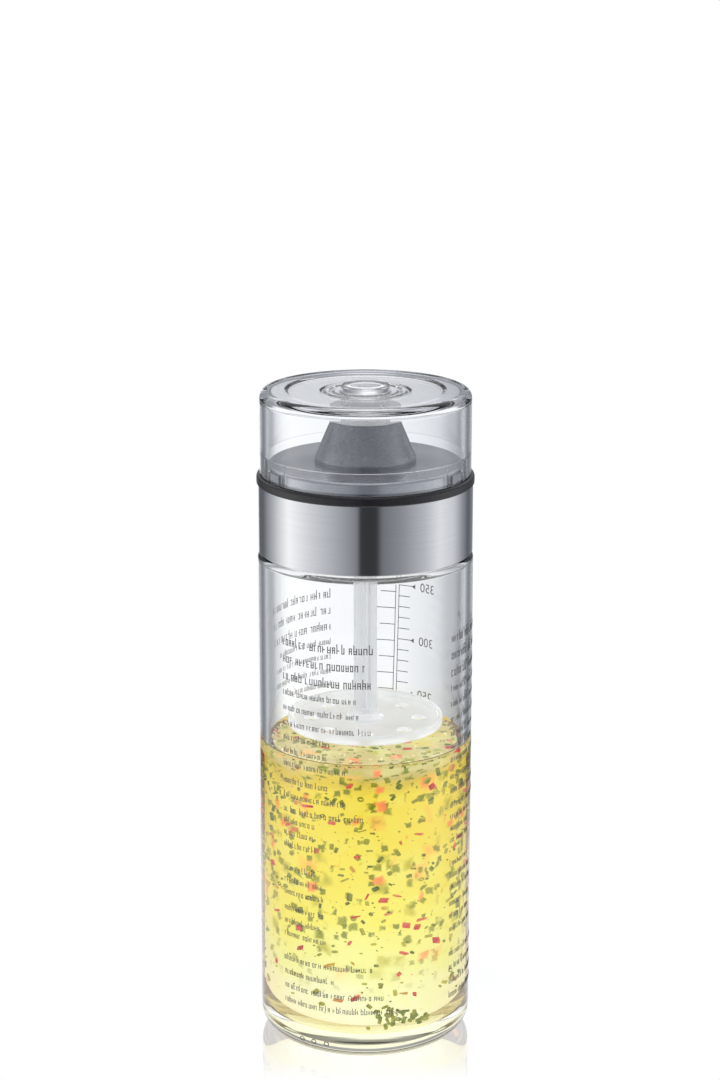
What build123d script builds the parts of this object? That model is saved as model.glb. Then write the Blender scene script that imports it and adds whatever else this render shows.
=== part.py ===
from build123d import *
import os

# A shaker bottle for salad dressing: a glass jar, a screw closure with a steel spout, a mixer that hangs
# from the closure, and a clear cap. Lengths are in millimetres and angles in degrees. The bottle stands on
# the origin with its axis along +Z and its front towards -Y.

# Clearances between pieces
running_fit = 0.05
collar_fit = 0.1
sleeve_fit = 0.15
liner_fit = 0.15
seal_clearance = 0.3
overrun = 1.0

# Glass jar
jar_diameter = 65.0
jar_wall = 2.5
jar_floor = 7.5
jar_foot_round = 6.5
jar_floor_round = 5.0
punt_inset = 9.0
punt_slope_width = 5.0
punt_depth = 1.2
punt_round = 2.0
shoulder_height = 152.8
shoulder_round = 1.2
shoulder_rise = 1.0
throat_drop = 1.6
throat_slope_height = 1.0
throat_round = 0.8
neck_thread_room = 1.5
neck_wall = 2.5
neck_height = 15.2
neck_root_round = 0.8
rim_round = 0.9

# Jar gasket
jar_gasket_thickness = 1.8
jar_gasket_inset = 0.4

# Steel collar
collar_inset = 0.2
collar_thickness = 0.5
collar_height = 20.9
collar_shoulder_gap = 0.9
collar_lip_width = 2.2
collar_edge_round = 0.3

# Closure body
closure_skirt_wall = 2.0
deck_thickness = 2.2
closure_rim_rise = 0.8
spigot_wall = 2.0
chimney_wall = 2.0
closure_corner_round = 0.6

# Cap seal ring
seal_ring_thickness = 2.0
seal_ring_overhang = 0.4
seal_ring_round = 0.8
seal_ring_foot_round = 0.35

# Top plate
plate_inset = 2.3
plate_thickness = 0.5
plate_skirt_height = 5.6
plate_edge_round = 0.9

# Spout cone
cone_base_diameter = 30.2
cone_slope_width = 4.8
cone_wall = 0.6
cone_straight_height = 1.5
cone_slope_height = 11.3
cone_flange_width = 2.9
cone_flange_thickness = 0.6
cone_mouth_round = 0.2

# Pour insert
liner_wall = 1.2
liner_lip_height = 0.9
liner_lip_overhang = 0.3
liner_lip_round = 0.3
insert_flange_thickness = 1.5
sleeve_wall = 1.5
sleeve_set_up = 0.5
socket_wall = 1.75
socket_drop = 2.0
socket_depth = 8.7
socket_roof = 1.5
socket_round = 0.5
spider_arm_count = 3
spider_arm_width = 1.8
spider_arm_height = 5.0

# Insert gasket
insert_gasket_thickness = 1.0

# Mixing rod
rod_diameter = 7.3
rod_rib_thickness = 1.3
rod_core_diameter = 3.4
rod_head_height = 12.0
rod_foot_height = 3.5
rod_turn = 25.0
rod_tip_round = 0.6

# Mixing disc
disc_clearance = 2.0
disc_height = 3.2
disc_bottom_height = 98.9
disc_floor = 1.4
disc_wall = 1.5
disc_foot_round = 1.2
disc_inner_round = 0.8
disc_rim_round = 0.5
disc_hub_wall = 1.6
disc_hub_rise = 2.2
disc_hole_diameter = 4.8
disc_hole_inset = 7.2
disc_hole_count = 8

# Disc pin
pin_diameter = 2.2
pin_drop = 9.0
pin_grip_height = 9.0
pin_head_diameter = 6.0
pin_head_thickness = 1.5
pin_tip_round = 0.5

# Clear cap
cap_plate_gap = 0.4
cap_height = 25.4
cap_skirt_wall = 1.3
cap_upper_wall = 2.2
cap_step_height = 6.4
cap_top_thickness = 2.5
cap_top_round = 2.4
cap_bottom_round = 0.4
cap_inner_round = 1.5
cap_recess_inset = 7.7
cap_recess_slope_width = 0.8
cap_recess_depth = 0.6
cap_recess_round = 0.25
ripple_diameters = (20.4, 25.6)
ripple_round = 1.2
ripple_depth = 0.25
button_diameter = 14.7
button_height = 2.4
button_round = 1.4
boss_diameter = 14.4
boss_wall = 2.0
pocket_depth = 0.6
pocket_width_angle = 20.5
lug_count = 3
lug_height = 3.0
lug_width_angle = 11.3
lug_first_angle = -30.0

# Spout plug
plug_flange_thickness = 1.6
plug_flange_round = 0.4
plug_depth = 4.2
plug_tip_round = 0.8
plug_stem_height = 3.0

full_turn = 360.0

# Radii and heights that follow from the sizes above
jar_radius = jar_diameter / 2
jar_bore_radius = jar_radius - jar_wall
rim_height = shoulder_height + neck_height
deck_bottom = rim_height + jar_gasket_thickness
deck_top = deck_bottom + deck_thickness

collar_radius = jar_radius - collar_inset
collar_bottom = shoulder_height + collar_shoulder_gap
collar_top = collar_bottom + collar_height
closure_rim_top = collar_top + closure_rim_rise

closure_radius = collar_radius - collar_thickness - collar_fit
closure_bore_radius = closure_radius - closure_skirt_wall
closure_bottom = collar_bottom + collar_thickness
neck_radius = closure_bore_radius - neck_thread_room
neck_bore_radius = neck_radius - neck_wall

plate_radius = collar_radius - plate_inset
plate_top = closure_rim_top + plate_skirt_height
plate_bottom = plate_top - plate_thickness
spigot_radius = plate_radius - plate_thickness - collar_fit

cone_base_radius = cone_base_diameter / 2
cone_mouth_radius = cone_base_radius - cone_slope_width
cone_flange_radius = cone_base_radius + cone_flange_width
cone_flange_bottom = plate_bottom - cone_flange_thickness
cone_slope_bottom = plate_top + cone_straight_height
cone_top = cone_slope_bottom + cone_slope_height

chimney_radius = cone_flange_radius
chimney_bore_radius = chimney_radius - chimney_wall
insert_flange_bottom = cone_flange_bottom - insert_flange_thickness
chimney_top = insert_flange_bottom - insert_gasket_thickness
sleeve_radius = chimney_bore_radius - sleeve_fit
sleeve_bore_radius = sleeve_radius - sleeve_wall
sleeve_bottom = deck_bottom + sleeve_set_up
liner_foot_radius = cone_base_radius - cone_wall - liner_fit
liner_mouth_radius = cone_mouth_radius - cone_wall - liner_fit
mouth_bore_radius = liner_mouth_radius - liner_wall
mouth_top = cone_top + liner_lip_height
lip_radius = cone_mouth_radius + liner_lip_overhang

rod_radius = rod_diameter / 2
socket_bore_radius = rod_radius + running_fit
socket_bottom = sleeve_bottom - socket_drop
socket_radius = socket_bore_radius + socket_wall
rod_top = socket_bottom + socket_depth
rod_bottom = disc_bottom_height + disc_floor

pin_radius = pin_diameter / 2
pin_bore_radius = pin_radius + running_fit

cap_skirt_bore_radius = plate_radius + cap_plate_gap
cap_radius = cap_skirt_bore_radius + cap_skirt_wall
cap_bottom = closure_rim_top + seal_ring_thickness
cap_top = cap_bottom + cap_height
cap_ceiling = cap_top - cap_top_thickness
cap_recess_radius = cap_radius - cap_recess_inset
cap_recess_floor = cap_top - cap_recess_depth
plug_flange_top = mouth_top + plug_flange_thickness
boss_bore_radius = boss_diameter / 2 - boss_wall


def turned(outline, sweep=full_turn):
    """Turn a closed outline about the bottle's axis. Each corner is (radius, height, rounding)."""
    corners = [(radius, height) for radius, height, _ in outline]
    roundings = [rounding for _, _, rounding in outline]
    profile = make_face(FilletPolyline(*corners, radius=roundings, close=True))
    return revolve(Plane.XZ * profile, Axis.Z, sweep)


def ring(inner_radius, outer_radius, bottom, top):
    """A plain flat ring about the bottle's axis."""
    return turned(
        [
            (inner_radius, bottom, 0),
            (outer_radius, bottom, 0),
            (outer_radius, top, 0),
            (inner_radius, top, 0),
        ]
    )


def upright(section, bottom, top):
    """A section extruded between two heights."""
    return Pos(0, 0, bottom) * extrude(section, top - bottom)


def glass_jar():
    punt_radius = jar_radius - punt_inset
    neck_root = shoulder_height + shoulder_rise
    return turned(
        [
            (0, punt_depth, 0),
            (punt_radius - punt_slope_width, punt_depth, punt_round),
            (punt_radius, 0, punt_round),
            (jar_radius, 0, jar_foot_round),
            (jar_radius, shoulder_height, shoulder_round),
            (neck_radius, neck_root, neck_root_round),
            (neck_radius, rim_height, rim_round),
            (neck_bore_radius, rim_height, rim_round),
            (neck_bore_radius, neck_root - throat_drop, throat_round),
            (jar_bore_radius, neck_root - throat_drop - throat_slope_height, throat_round),
            (jar_bore_radius, jar_floor, jar_floor_round),
            (0, jar_floor, 0),
        ]
    )


def jar_gasket():
    return ring(
        neck_bore_radius + jar_gasket_inset,
        closure_bore_radius - seal_clearance,
        rim_height,
        deck_bottom,
    )


def closure_body():
    """The moulded ring that screws on the neck: skirt, deck, rim, spigot for the plate, and chimney."""
    return turned(
        [
            (closure_bore_radius, closure_bottom, 0),
            (closure_radius, closure_bottom, 0),
            (closure_radius, closure_rim_top, 0),
            (spigot_radius, closure_rim_top, 0),
            (spigot_radius, plate_bottom, closure_corner_round),
            (spigot_radius - spigot_wall, plate_bottom, closure_corner_round),
            (spigot_radius - spigot_wall, deck_top, closure_corner_round),
            (chimney_radius, deck_top, closure_corner_round),
            (chimney_radius, chimney_top, closure_corner_round),
            (chimney_bore_radius, chimney_top, 0),
            (chimney_bore_radius, deck_bottom, closure_corner_round),
            (closure_bore_radius, deck_bottom, 0),
        ]
    )


def steel_collar():
    """A drawn band whose lower edge turns in under the closure's skirt."""
    return turned(
        [
            (collar_radius - collar_lip_width, collar_bottom, 0),
            (collar_radius, collar_bottom, collar_edge_round),
            (collar_radius, collar_top, 0),
            (collar_radius - collar_thickness, collar_top, 0),
            (collar_radius - collar_thickness, closure_bottom, 0),
            (collar_radius - collar_lip_width, closure_bottom, 0),
        ]
    )


def cap_seal_ring():
    """A ring on the closure's rim that reaches down outside it to the collar's upper edge."""
    inner_radius = plate_radius + collar_fit
    step_radius = closure_radius + collar_fit
    outer_radius = collar_radius + seal_ring_overhang
    return turned(
        [
            (inner_radius, closure_rim_top, 0),
            (step_radius, closure_rim_top, 0),
            (step_radius, collar_top, 0),
            (outer_radius, collar_top, seal_ring_foot_round),
            (outer_radius, cap_bottom, seal_ring_round),
            (inner_radius, cap_bottom, 0),
        ]
    )


def top_plate():
    """A shallow pan, open below, that sits over the closure's spigot."""
    hole_radius = cone_base_radius + running_fit
    return turned(
        [
            (plate_radius - plate_thickness, closure_rim_top, 0),
            (plate_radius, closure_rim_top, 0),
            (plate_radius, plate_top, plate_edge_round),
            (hole_radius, plate_top, 0),
            (hole_radius, plate_bottom, 0),
            (plate_radius - plate_thickness, plate_bottom, plate_edge_round - plate_thickness),
        ]
    )


def spout_cone():
    """A thin cone on a short straight foot, with a flange that the plate holds down."""
    return turned(
        [
            (cone_base_radius - cone_wall, cone_flange_bottom, 0),
            (cone_flange_radius, cone_flange_bottom, 0),
            (cone_flange_radius, plate_bottom, 0),
            (cone_base_radius, plate_bottom, 0),
            (cone_base_radius, cone_slope_bottom, 0),
            (cone_mouth_radius, cone_top, cone_mouth_round),
            (cone_mouth_radius - cone_wall, cone_top, cone_mouth_round),
            (cone_base_radius - cone_wall, cone_slope_bottom, 0),
        ]
    )


def pour_insert():
    """The liner of the cone, its sleeve in the chimney, and a spider with the socket for the rod."""
    liner = turned(
        [
            (sleeve_bore_radius, sleeve_bottom, 0),
            (sleeve_radius, sleeve_bottom, 0),
            (sleeve_radius, insert_flange_bottom, 0),
            (cone_flange_radius, insert_flange_bottom, 0),
            (cone_flange_radius, cone_flange_bottom, 0),
            (liner_foot_radius, cone_flange_bottom, 0),
            (liner_foot_radius, cone_slope_bottom, 0),
            (liner_mouth_radius, cone_top, 0),
            (lip_radius, cone_top, 0),
            (lip_radius, mouth_top, liner_lip_round),
            (mouth_bore_radius, mouth_top, liner_lip_round),
            (mouth_bore_radius, cone_top, 0),
            (liner_foot_radius - liner_wall, cone_slope_bottom, 0),
            (liner_foot_radius - liner_wall, insert_flange_bottom, 0),
            (sleeve_bore_radius, insert_flange_bottom, 0),
        ]
    )
    socket = turned(
        [
            (0, rod_top, 0),
            (socket_bore_radius, rod_top, 0),
            (socket_bore_radius, socket_bottom, 0),
            (socket_radius, socket_bottom, socket_round),
            (socket_radius, rod_top + socket_roof, socket_round),
            (0, rod_top + socket_roof, 0),
        ]
    )
    arm_reach = sleeve_bore_radius + sleeve_wall / 2 - socket_radius + socket_wall / 2
    arm_middle = socket_radius - socket_wall / 2 + arm_reach / 2
    arms = [
        location * Rectangle(arm_reach, spider_arm_width)
        for location in PolarLocations(arm_middle, spider_arm_count)
    ]
    spider = [upright(arm, sleeve_bottom, sleeve_bottom + spider_arm_height) for arm in arms]
    return liner + socket + spider


def insert_gasket():
    return ring(
        chimney_bore_radius + running_fit,
        chimney_radius - running_fit,
        chimney_top,
        insert_flange_bottom,
    )


def mixing_rod():
    """A cross-ribbed rod with a round head for the socket and a round foot for the disc."""
    section = Rectangle(rod_diameter, rod_rib_thickness) + Rectangle(rod_rib_thickness, rod_diameter)
    section += Circle(rod_core_diameter / 2)
    section &= Circle(rod_radius)
    shank = upright(Rot(0, 0, rod_turn) * section, rod_bottom, rod_top - rod_tip_round)
    head = turned(
        [
            (0, rod_top - rod_head_height, 0),
            (rod_radius, rod_top - rod_head_height, rod_tip_round),
            (rod_radius, rod_top, rod_tip_round),
            (0, rod_top, 0),
        ]
    )
    foot = turned(
        [
            (0, rod_bottom, 0),
            (rod_radius, rod_bottom, 0),
            (rod_radius, rod_bottom + rod_foot_height, rod_tip_round),
            (0, rod_bottom + rod_foot_height, 0),
        ]
    )
    pin_bore = upright(Circle(pin_bore_radius), rod_bottom - overrun, rod_bottom + pin_grip_height)
    return shank + head + foot - pin_bore


def mixing_disc():
    """A shallow dish with a ring of round holes and a hub that takes the rod's foot."""
    disc_radius = neck_bore_radius - disc_clearance
    disc_top = disc_bottom_height + disc_height
    hub_bore_radius = rod_radius + running_fit
    hub_radius = hub_bore_radius + disc_hub_wall
    hub_top = rod_bottom + disc_hub_rise
    dish = turned(
        [
            (pin_bore_radius, disc_bottom_height, 0),
            (disc_radius, disc_bottom_height, disc_foot_round),
            (disc_radius, disc_top, disc_rim_round),
            (disc_radius - disc_wall, disc_top, disc_rim_round),
            (disc_radius - disc_wall, rod_bottom, disc_inner_round),
            (hub_radius, rod_bottom, disc_inner_round),
            (hub_radius, hub_top, disc_rim_round),
            (hub_bore_radius, hub_top, disc_rim_round),
            (hub_bore_radius, rod_bottom, 0),
            (pin_bore_radius, rod_bottom, 0),
        ]
    )
    hole = upright(Circle(disc_hole_diameter / 2), disc_bottom_height - overrun, rod_bottom + overrun)
    places = PolarLocations(disc_radius - disc_hole_inset, disc_hole_count)
    return dish - [place * hole for place in places]


def disc_pin():
    """The pin that holds the disc on the rod: a head under the disc and a plain tip below it."""
    return turned(
        [
            (0, disc_bottom_height - pin_drop, 0),
            (pin_radius, disc_bottom_height - pin_drop, pin_tip_round),
            (pin_radius, disc_bottom_height - pin_head_thickness, 0),
            (pin_head_diameter / 2, disc_bottom_height - pin_head_thickness, pin_tip_round),
            (pin_head_diameter / 2, disc_bottom_height, 0),
            (pin_radius, disc_bottom_height, 0),
            (pin_radius, rod_bottom + pin_grip_height, pin_tip_round),
            (0, rod_bottom + pin_grip_height, 0),
        ]
    )


def cap_lug_cuts_and_lugs():
    """The pockets in the cap's skirt, and the lug that grips the plate in each of them."""
    pocket_radius = cap_skirt_bore_radius + pocket_depth
    lug_radius = plate_radius + collar_fit
    step = cap_bottom + cap_step_height
    pocket = turned(
        [
            (lug_radius, cap_bottom - overrun, 0),
            (pocket_radius, cap_bottom - overrun, 0),
            (pocket_radius, step, 0),
            (lug_radius, step, 0),
        ],
        pocket_width_angle,
    )
    lug = turned(
        [
            (lug_radius, cap_bottom, 0),
            (pocket_radius + pocket_depth / 2, cap_bottom, 0),
            (pocket_radius + pocket_depth / 2, cap_bottom + lug_height, 0),
            (lug_radius, cap_bottom + lug_height, 0),
        ],
        lug_width_angle,
    )
    angles = [lug_first_angle + full_turn / lug_count * turn for turn in range(lug_count)]
    pockets = [Rot(0, 0, angle - pocket_width_angle / 2) * pocket for angle in angles]
    lugs = [Rot(0, 0, angle - lug_width_angle / 2) * lug for angle in angles]
    return pockets, lugs


def clear_cap():
    """A clear tumbler turned over, with a recessed top, a raised button and a boss for the plug."""
    upper_bore_radius = cap_radius - cap_upper_wall
    step = cap_bottom + cap_step_height
    button_radius = button_diameter / 2
    button_top = cap_recess_floor + button_height
    shell = turned(
        [
            (cap_skirt_bore_radius, cap_bottom, cap_bottom_round),
            (cap_radius, cap_bottom, cap_bottom_round),
            (cap_radius, cap_top, cap_top_round),
            (cap_recess_radius, cap_top, cap_recess_round),
            (cap_recess_radius - cap_recess_slope_width, cap_recess_floor, cap_recess_round),
            (button_radius, cap_recess_floor, cap_recess_round),
            (button_radius, button_top, button_round),
            (0, button_top, 0),
            (0, cap_ceiling, 0),
            (boss_bore_radius, cap_ceiling, 0),
            (boss_bore_radius, plug_flange_top, 0),
            (boss_diameter / 2, plug_flange_top, 0),
            (boss_diameter / 2, cap_ceiling, 0),
            (upper_bore_radius, cap_ceiling, cap_inner_round),
            (upper_bore_radius, step, 0),
            (cap_skirt_bore_radius, step, 0),
        ]
    )
    ripples = [
        Pos(0, 0, cap_recess_floor + ripple_round - ripple_depth) * Torus(diameter / 2, ripple_round)
        for diameter in ripple_diameters
    ]
    pockets, lugs = cap_lug_cuts_and_lugs()
    return shell - ripples - pockets + lugs


def spout_plug():
    """The seal under the cap: a tip in the mouth, a flange on the lip, and a stem in the boss."""
    plug_radius = mouth_bore_radius - seal_clearance
    stem_radius = boss_bore_radius - running_fit
    return turned(
        [
            (0, mouth_top - plug_depth, 0),
            (plug_radius, mouth_top - plug_depth, plug_tip_round),
            (plug_radius, mouth_top, 0),
            (lip_radius, mouth_top, 0),
            (lip_radius, plug_flange_top, plug_flange_round),
            (stem_radius, plug_flange_top, 0),
            (stem_radius, plug_flange_top + plug_stem_height, plug_flange_round),
            (0, plug_flange_top + plug_stem_height, 0),
        ]
    )


nodes = {
    "glass_jar": glass_jar,
    "jar_gasket": jar_gasket,
    "closure_body": closure_body,
    "steel_collar": steel_collar,
    "cap_seal_ring": cap_seal_ring,
    "top_plate": top_plate,
    "spout_cone": spout_cone,
    "pour_insert": pour_insert,
    "insert_gasket": insert_gasket,
    "mixing_rod": mixing_rod,
    "mixing_disc": mixing_disc,
    "disc_pin": disc_pin,
    "clear_cap": clear_cap,
    "spout_plug": spout_plug,
}

os.makedirs("parts", exist_ok=True)
for name, make in nodes.items():
    export_step(make(), f"parts/{name}.step")
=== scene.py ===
import math
import random

import bmesh
import bpy
from mathutils import Matrix, Vector


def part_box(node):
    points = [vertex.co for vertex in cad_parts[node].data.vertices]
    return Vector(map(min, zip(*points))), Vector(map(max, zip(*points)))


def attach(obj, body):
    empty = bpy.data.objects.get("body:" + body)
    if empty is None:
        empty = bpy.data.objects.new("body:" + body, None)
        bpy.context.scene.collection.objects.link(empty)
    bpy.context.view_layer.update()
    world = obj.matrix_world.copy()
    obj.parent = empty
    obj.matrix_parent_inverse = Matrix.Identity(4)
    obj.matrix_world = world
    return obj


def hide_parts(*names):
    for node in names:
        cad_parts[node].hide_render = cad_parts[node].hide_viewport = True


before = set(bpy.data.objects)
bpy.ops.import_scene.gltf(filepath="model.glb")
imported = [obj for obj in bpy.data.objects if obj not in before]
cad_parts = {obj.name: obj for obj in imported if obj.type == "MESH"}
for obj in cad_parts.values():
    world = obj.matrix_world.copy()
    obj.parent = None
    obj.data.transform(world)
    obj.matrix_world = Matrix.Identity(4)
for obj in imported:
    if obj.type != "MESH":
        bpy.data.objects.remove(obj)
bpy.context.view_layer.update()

# The salad dressing shaker, dressed for the studio.
# Lengths are in metres, z is up, and the front is towards -y.

random.seed(11)

# Places read from the frame
_, jar_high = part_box("glass_jar")
collar_low, collar_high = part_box("steel_collar")
ring_low, ring_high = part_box("cap_seal_ring")
plate_low, plate_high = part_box("top_plate")
cone_low, cone_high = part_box("spout_cone")
disc_low, disc_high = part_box("mixing_disc")
cap_low, cap_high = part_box("clear_cap")
_, plug_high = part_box("spout_plug")

# Walls and steps of the pieces, as the solids have them
jar_wall = 0.0025
jar_floor = 0.0075
jar_foot_round = 0.0065
shoulder_height = 0.1528
shoulder_rise = 0.001
throat_drop = 0.0016
throat_slope_height = 0.001
neck_radius = 0.0282
punt_inset = 0.009
punt_slope_width = 0.005
punt_depth = 0.0012
collar_thickness = 0.0005
collar_lip_width = 0.0022
plate_thickness = 0.0005
plate_clearance = 0.0001
cone_base_radius = 0.0151
cone_mouth_radius = 0.0103
cone_wall = 0.0006
cone_straight_height = 0.0015
cone_clearance = 0.00005
disc_height = 0.0032
disc_floor = 0.0014
disc_wall = 0.0015
disc_hub_radius = 0.0053
disc_hub_bore = 0.0037
disc_hub_rise = 0.0022
disc_pin_bore = 0.00115
disc_hole_radius = 0.0024
disc_hole_inset = 0.0072
disc_hole_count = 8
cap_skirt_wall = 0.0013
cap_upper_wall = 0.0022
cap_step_height = 0.0064
cap_rim_height = 0.0254
cap_top_thickness = 0.0025
cap_recess_radius = 0.024
cap_recess_slope_width = 0.0008
cap_recess_depth = 0.0006
ripple_radii = (0.0128, 0.0102)
ripple_half_width = 0.0008
ripple_depth = 0.0003
ripple_round = 0.0004
button_radius = 0.00735
boss_radius = 0.0072
boss_wall = 0.002
plug_stem_height = 0.003
pocket_depth = 0.0006
pocket_angle = 20.5
lug_height = 0.003
lug_angle = 11.3
lug_count = 3
lug_first_angle = -30.0
pocket_overcut = 0.001

jar_radius = jar_high.x
jar_bore = jar_radius - jar_wall
neck_bore = neck_radius - jar_wall
rim_height = jar_high.z
cap_radius = cap_high.x
cap_bottom = cap_low.z
cap_top = cap_bottom + cap_rim_height
cap_ceiling = cap_top - cap_top_thickness

# How finely round pieces are divided
round_steps = 160
edge_segments = 4


# Node trees


class Value:
    """An output socket in a node tree. Arithmetic on it adds Math nodes."""

    def __init__(self, nodes, socket):
        self.nodes = nodes
        self.socket = socket

    def math(self, operation, first, second=0.0):
        return self.nodes.node("ShaderNodeMath", {"operation": operation}, {0: first, 1: second})

    def __add__(self, other):
        return self.math("ADD", self, other)

    __radd__ = __add__

    def __sub__(self, other):
        return self.math("SUBTRACT", self, other)

    def __rsub__(self, other):
        return self.math("SUBTRACT", other, self)

    def __mul__(self, other):
        return self.math("MULTIPLY", self, other)

    __rmul__ = __mul__

    def __truediv__(self, other):
        return self.math("DIVIDE", self, other)

    def __gt__(self, other):
        return self.math("GREATER_THAN", self, other)

    def __lt__(self, other):
        return self.math("LESS_THAN", self, other)

    def clamped(self):
        return self.math("MINIMUM", self.math("MAXIMUM", self, 0.0), 1.0)

    def past(self, start, slope):
        """A mask that climbs from 0 at the start; a negative slope climbs the other way."""
        return ((self - start) * slope).clamped()


class Nodes:
    """A node tree, and short ways to add to it."""

    def __init__(self, tree):
        self.tree = tree

    def plug(self, socket, value):
        if isinstance(value, Value):
            self.tree.links.new(value.socket, socket)
        else:
            socket.default_value = value

    def node(self, kind, settings=None, inputs=None, output=0):
        """Add a node: its settings first, then the values or links of its sockets."""
        node = self.tree.nodes.new(kind)
        for name, value in (settings or {}).items():
            if name == "stops":
                self.set_stops(node.color_ramp, value)
            else:
                setattr(node, name, value)
        for socket, value in (inputs or {}).items():
            self.plug(node.inputs[socket], value)
        return Value(self, node.outputs[output]) if node.outputs else node

    def set_stops(self, ramp, stops):
        while len(ramp.elements) < len(stops):
            ramp.elements.new(1.0)
        for element, (place, color) in zip(ramp.elements, stops):
            element.position = place
            element.color = (*color, 1)

    def split(self, vector):
        parts = self.node("ShaderNodeSeparateXYZ", inputs={0: vector}).socket.node.outputs
        return [Value(self, part) for part in parts]

    def place(self):
        """The piece's own coordinates, in metres."""
        return self.node("ShaderNodeTexCoord", output="Object")

    def height(self):
        return self.split(self.place())[2]

    def from_axis(self):
        """Distance from the bottle's axis, in metres."""
        x, y, _ = self.split(self.place())
        return x.math("SQRT", x * x + y * y)

    def stretched(self, scale):
        return self.node("ShaderNodeMapping", inputs={"Vector": self.place(), "Scale": scale})

    def noise(self, scale, detail=2.0, stretch=(1, 1, 1), roughness=0.5):
        inputs = {
            "Vector": self.stretched(stretch),
            "Scale": scale,
            "Detail": detail,
            "Roughness": roughness,
        }
        return self.node("ShaderNodeTexNoise", inputs=inputs)

    def ramp(self, value, *stops):
        return self.node("ShaderNodeValToRGB", {"stops": stops}, {0: value})

    def mix(self, factor, first, second):
        inputs = {0: factor, 6: as_color(first), 7: as_color(second)}
        return self.node("ShaderNodeMix", {"data_type": "RGBA"}, inputs, output=2)


class Finish(Nodes):
    """A material, and the nodes that vary its surface."""

    def __init__(self, name, color, **constants):
        self.material = bpy.data.materials.new(name)
        self.material.use_nodes = True
        super().__init__(self.material.node_tree)
        self.shader = self.tree.nodes["Principled BSDF"]
        self.shader.inputs["Base Color"].default_value = (*color, 1)
        for socket, value in constants.items():
            self.shader.inputs[socket.replace("_", " ")].default_value = value

    def set(self, socket, value):
        self.plug(self.shader.inputs[socket], value)

    def bump(self, height, distance, strength=1.0):
        inputs = {"Height": height, "Distance": distance, "Strength": strength}
        self.set("Normal", self.node("ShaderNodeBump", inputs=inputs))


def as_color(value):
    return value if isinstance(value, Value) else (*value, 1)


# Finishes


def jar_glass_finish():
    """Clear glass. The thick foot is tinted yellow, a painted glow of the dressing's light shining down
    through it.
    """
    finish = Finish("jar_glass", (0.985, 0.99, 0.985), Transmission_Weight=1.0, IOR=1.5)
    # Painted light: the foot's yellow tint stands in for the dressing's light seen through the thick glass.
    painted_foot_glow = finish.height().past(jar_floor + 0.001, -500)
    finish.set("Base Color", finish.mix(painted_foot_glow, (0.985, 0.99, 0.985), (0.98, 0.96, 0.82)))
    finish.set("Roughness", finish.noise(40.0, 3.0) * 0.01)
    finish.bump(finish.noise(22.0, 1.0, (1, 1, 0.4)), 0.00012, 0.15)
    return finish.material


def clear_cap_finish():
    finish = Finish("clear_moulding", (0.985, 0.99, 0.995), Transmission_Weight=1.0, IOR=1.5)
    finish.set("Roughness", finish.noise(60.0, 3.0) * 0.02)
    finish.bump(finish.noise(30.0, 1.0), 0.00008, 0.2)
    return finish.material


def collar_steel_finish():
    """Steel brushed round the axis: fine level lines that vary in tone and depth."""
    finish = Finish(
        "brushed_collar_steel", (0.6, 0.6, 0.6), Metallic=1.0, Anisotropic=0.8, Anisotropic_Rotation=0.25
    )
    lines = finish.noise(1.0, 2.0, (30, 30, 9000))
    tone = finish.ramp(
        lines,
        (0.3, (0.655, 0.66, 0.675)),
        (0.5, (0.675, 0.68, 0.695)),
        (0.7, (0.7, 0.705, 0.715)),
    )
    finish.set("Base Color", tone)
    finish.set("Roughness", lines * 0.04 + 0.13)
    finish.bump(lines, 0.00001, 0.04)
    return finish.material


def plate_steel_finish():
    """The pan is brushed round the spout, like the collar."""
    finish = Finish(
        "brushed_plate_steel", (0.5, 0.5, 0.5), Metallic=1.0, Anisotropic=0.85, Anisotropic_Rotation=0.25
    )
    rings = finish.noise(1.0, 4.0, (14, 14, 5200))
    turned_lines = finish.node(
        "ShaderNodeTexNoise",
        {"noise_dimensions": "1D"},
        {"W": finish.from_axis(), "Scale": 2600.0, "Detail": 4.0},
    )
    lines = rings * 0.4 + turned_lines * 0.6
    tone = finish.ramp(
        lines,
        (0.3, (0.39, 0.405, 0.43)),
        (0.7, (0.54, 0.55, 0.57)),
    )
    finish.set("Base Color", tone)
    finish.set("Roughness", lines * 0.14 + 0.16)
    finish.bump(lines, 0.00001, 0.1)
    return finish.material


def cone_steel_finish():
    """Blasted steel: an even fine grain."""
    finish = Finish("blasted_steel", (0.4, 0.4, 0.4), Metallic=1.0)
    grain = finish.noise(2600.0, 3.0)
    patches = finish.noise(120.0, 3.0)
    tone = finish.ramp(
        grain * 0.6 + patches * 0.4, (0.35, (0.28, 0.29, 0.31)), (0.65, (0.45, 0.455, 0.47))
    )
    finish.set("Base Color", tone)
    finish.set("Roughness", grain * 0.16 + 0.16)
    finish.bump(grain, 0.00008, 0.35)
    return finish.material


def black_silicone_finish():
    finish = Finish("black_silicone", (0.012, 0.012, 0.013))
    grain = finish.noise(900.0, 3.0)
    finish.set("Base Color", finish.ramp(grain, (0.3, (0.01, 0.009, 0.01)), (0.7, (0.022, 0.019, 0.02))))
    finish.set("Roughness", grain * 0.15 + 0.25)
    finish.bump(grain, 0.00004, 0.3)
    return finish.material


def frosted_finish(name, transmission, roughness, glow=0.12):
    """Milky natural plastic. The glow stands for the light that scatters inside it."""
    finish = Finish(
        name, (0.93, 0.94, 0.94), Transmission_Weight=transmission, IOR=1.45, Emission_Strength=glow
    )
    milkiness = finish.noise(90.0, 3.0)
    tone = finish.ramp(milkiness, (0.3, (0.7, 0.71, 0.72)), (0.7, (0.77, 0.775, 0.78)))
    finish.set("Base Color", tone)
    finish.set("Emission Color", tone)
    finish.set("Roughness", milkiness * 0.12 + roughness)
    finish.bump(finish.noise(300.0, 2.0), 0.00002, 0.1)
    return finish.material


haze_per_metre = 66.0
haze_filter = (0.66, 0.5, 0.0, 1)
# Painted light: the glowing yellow of the lit haze, mixed over the deeper bits and emitted with them.
lit_haze_yellow = (0.85, 0.84, 0.12)


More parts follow.
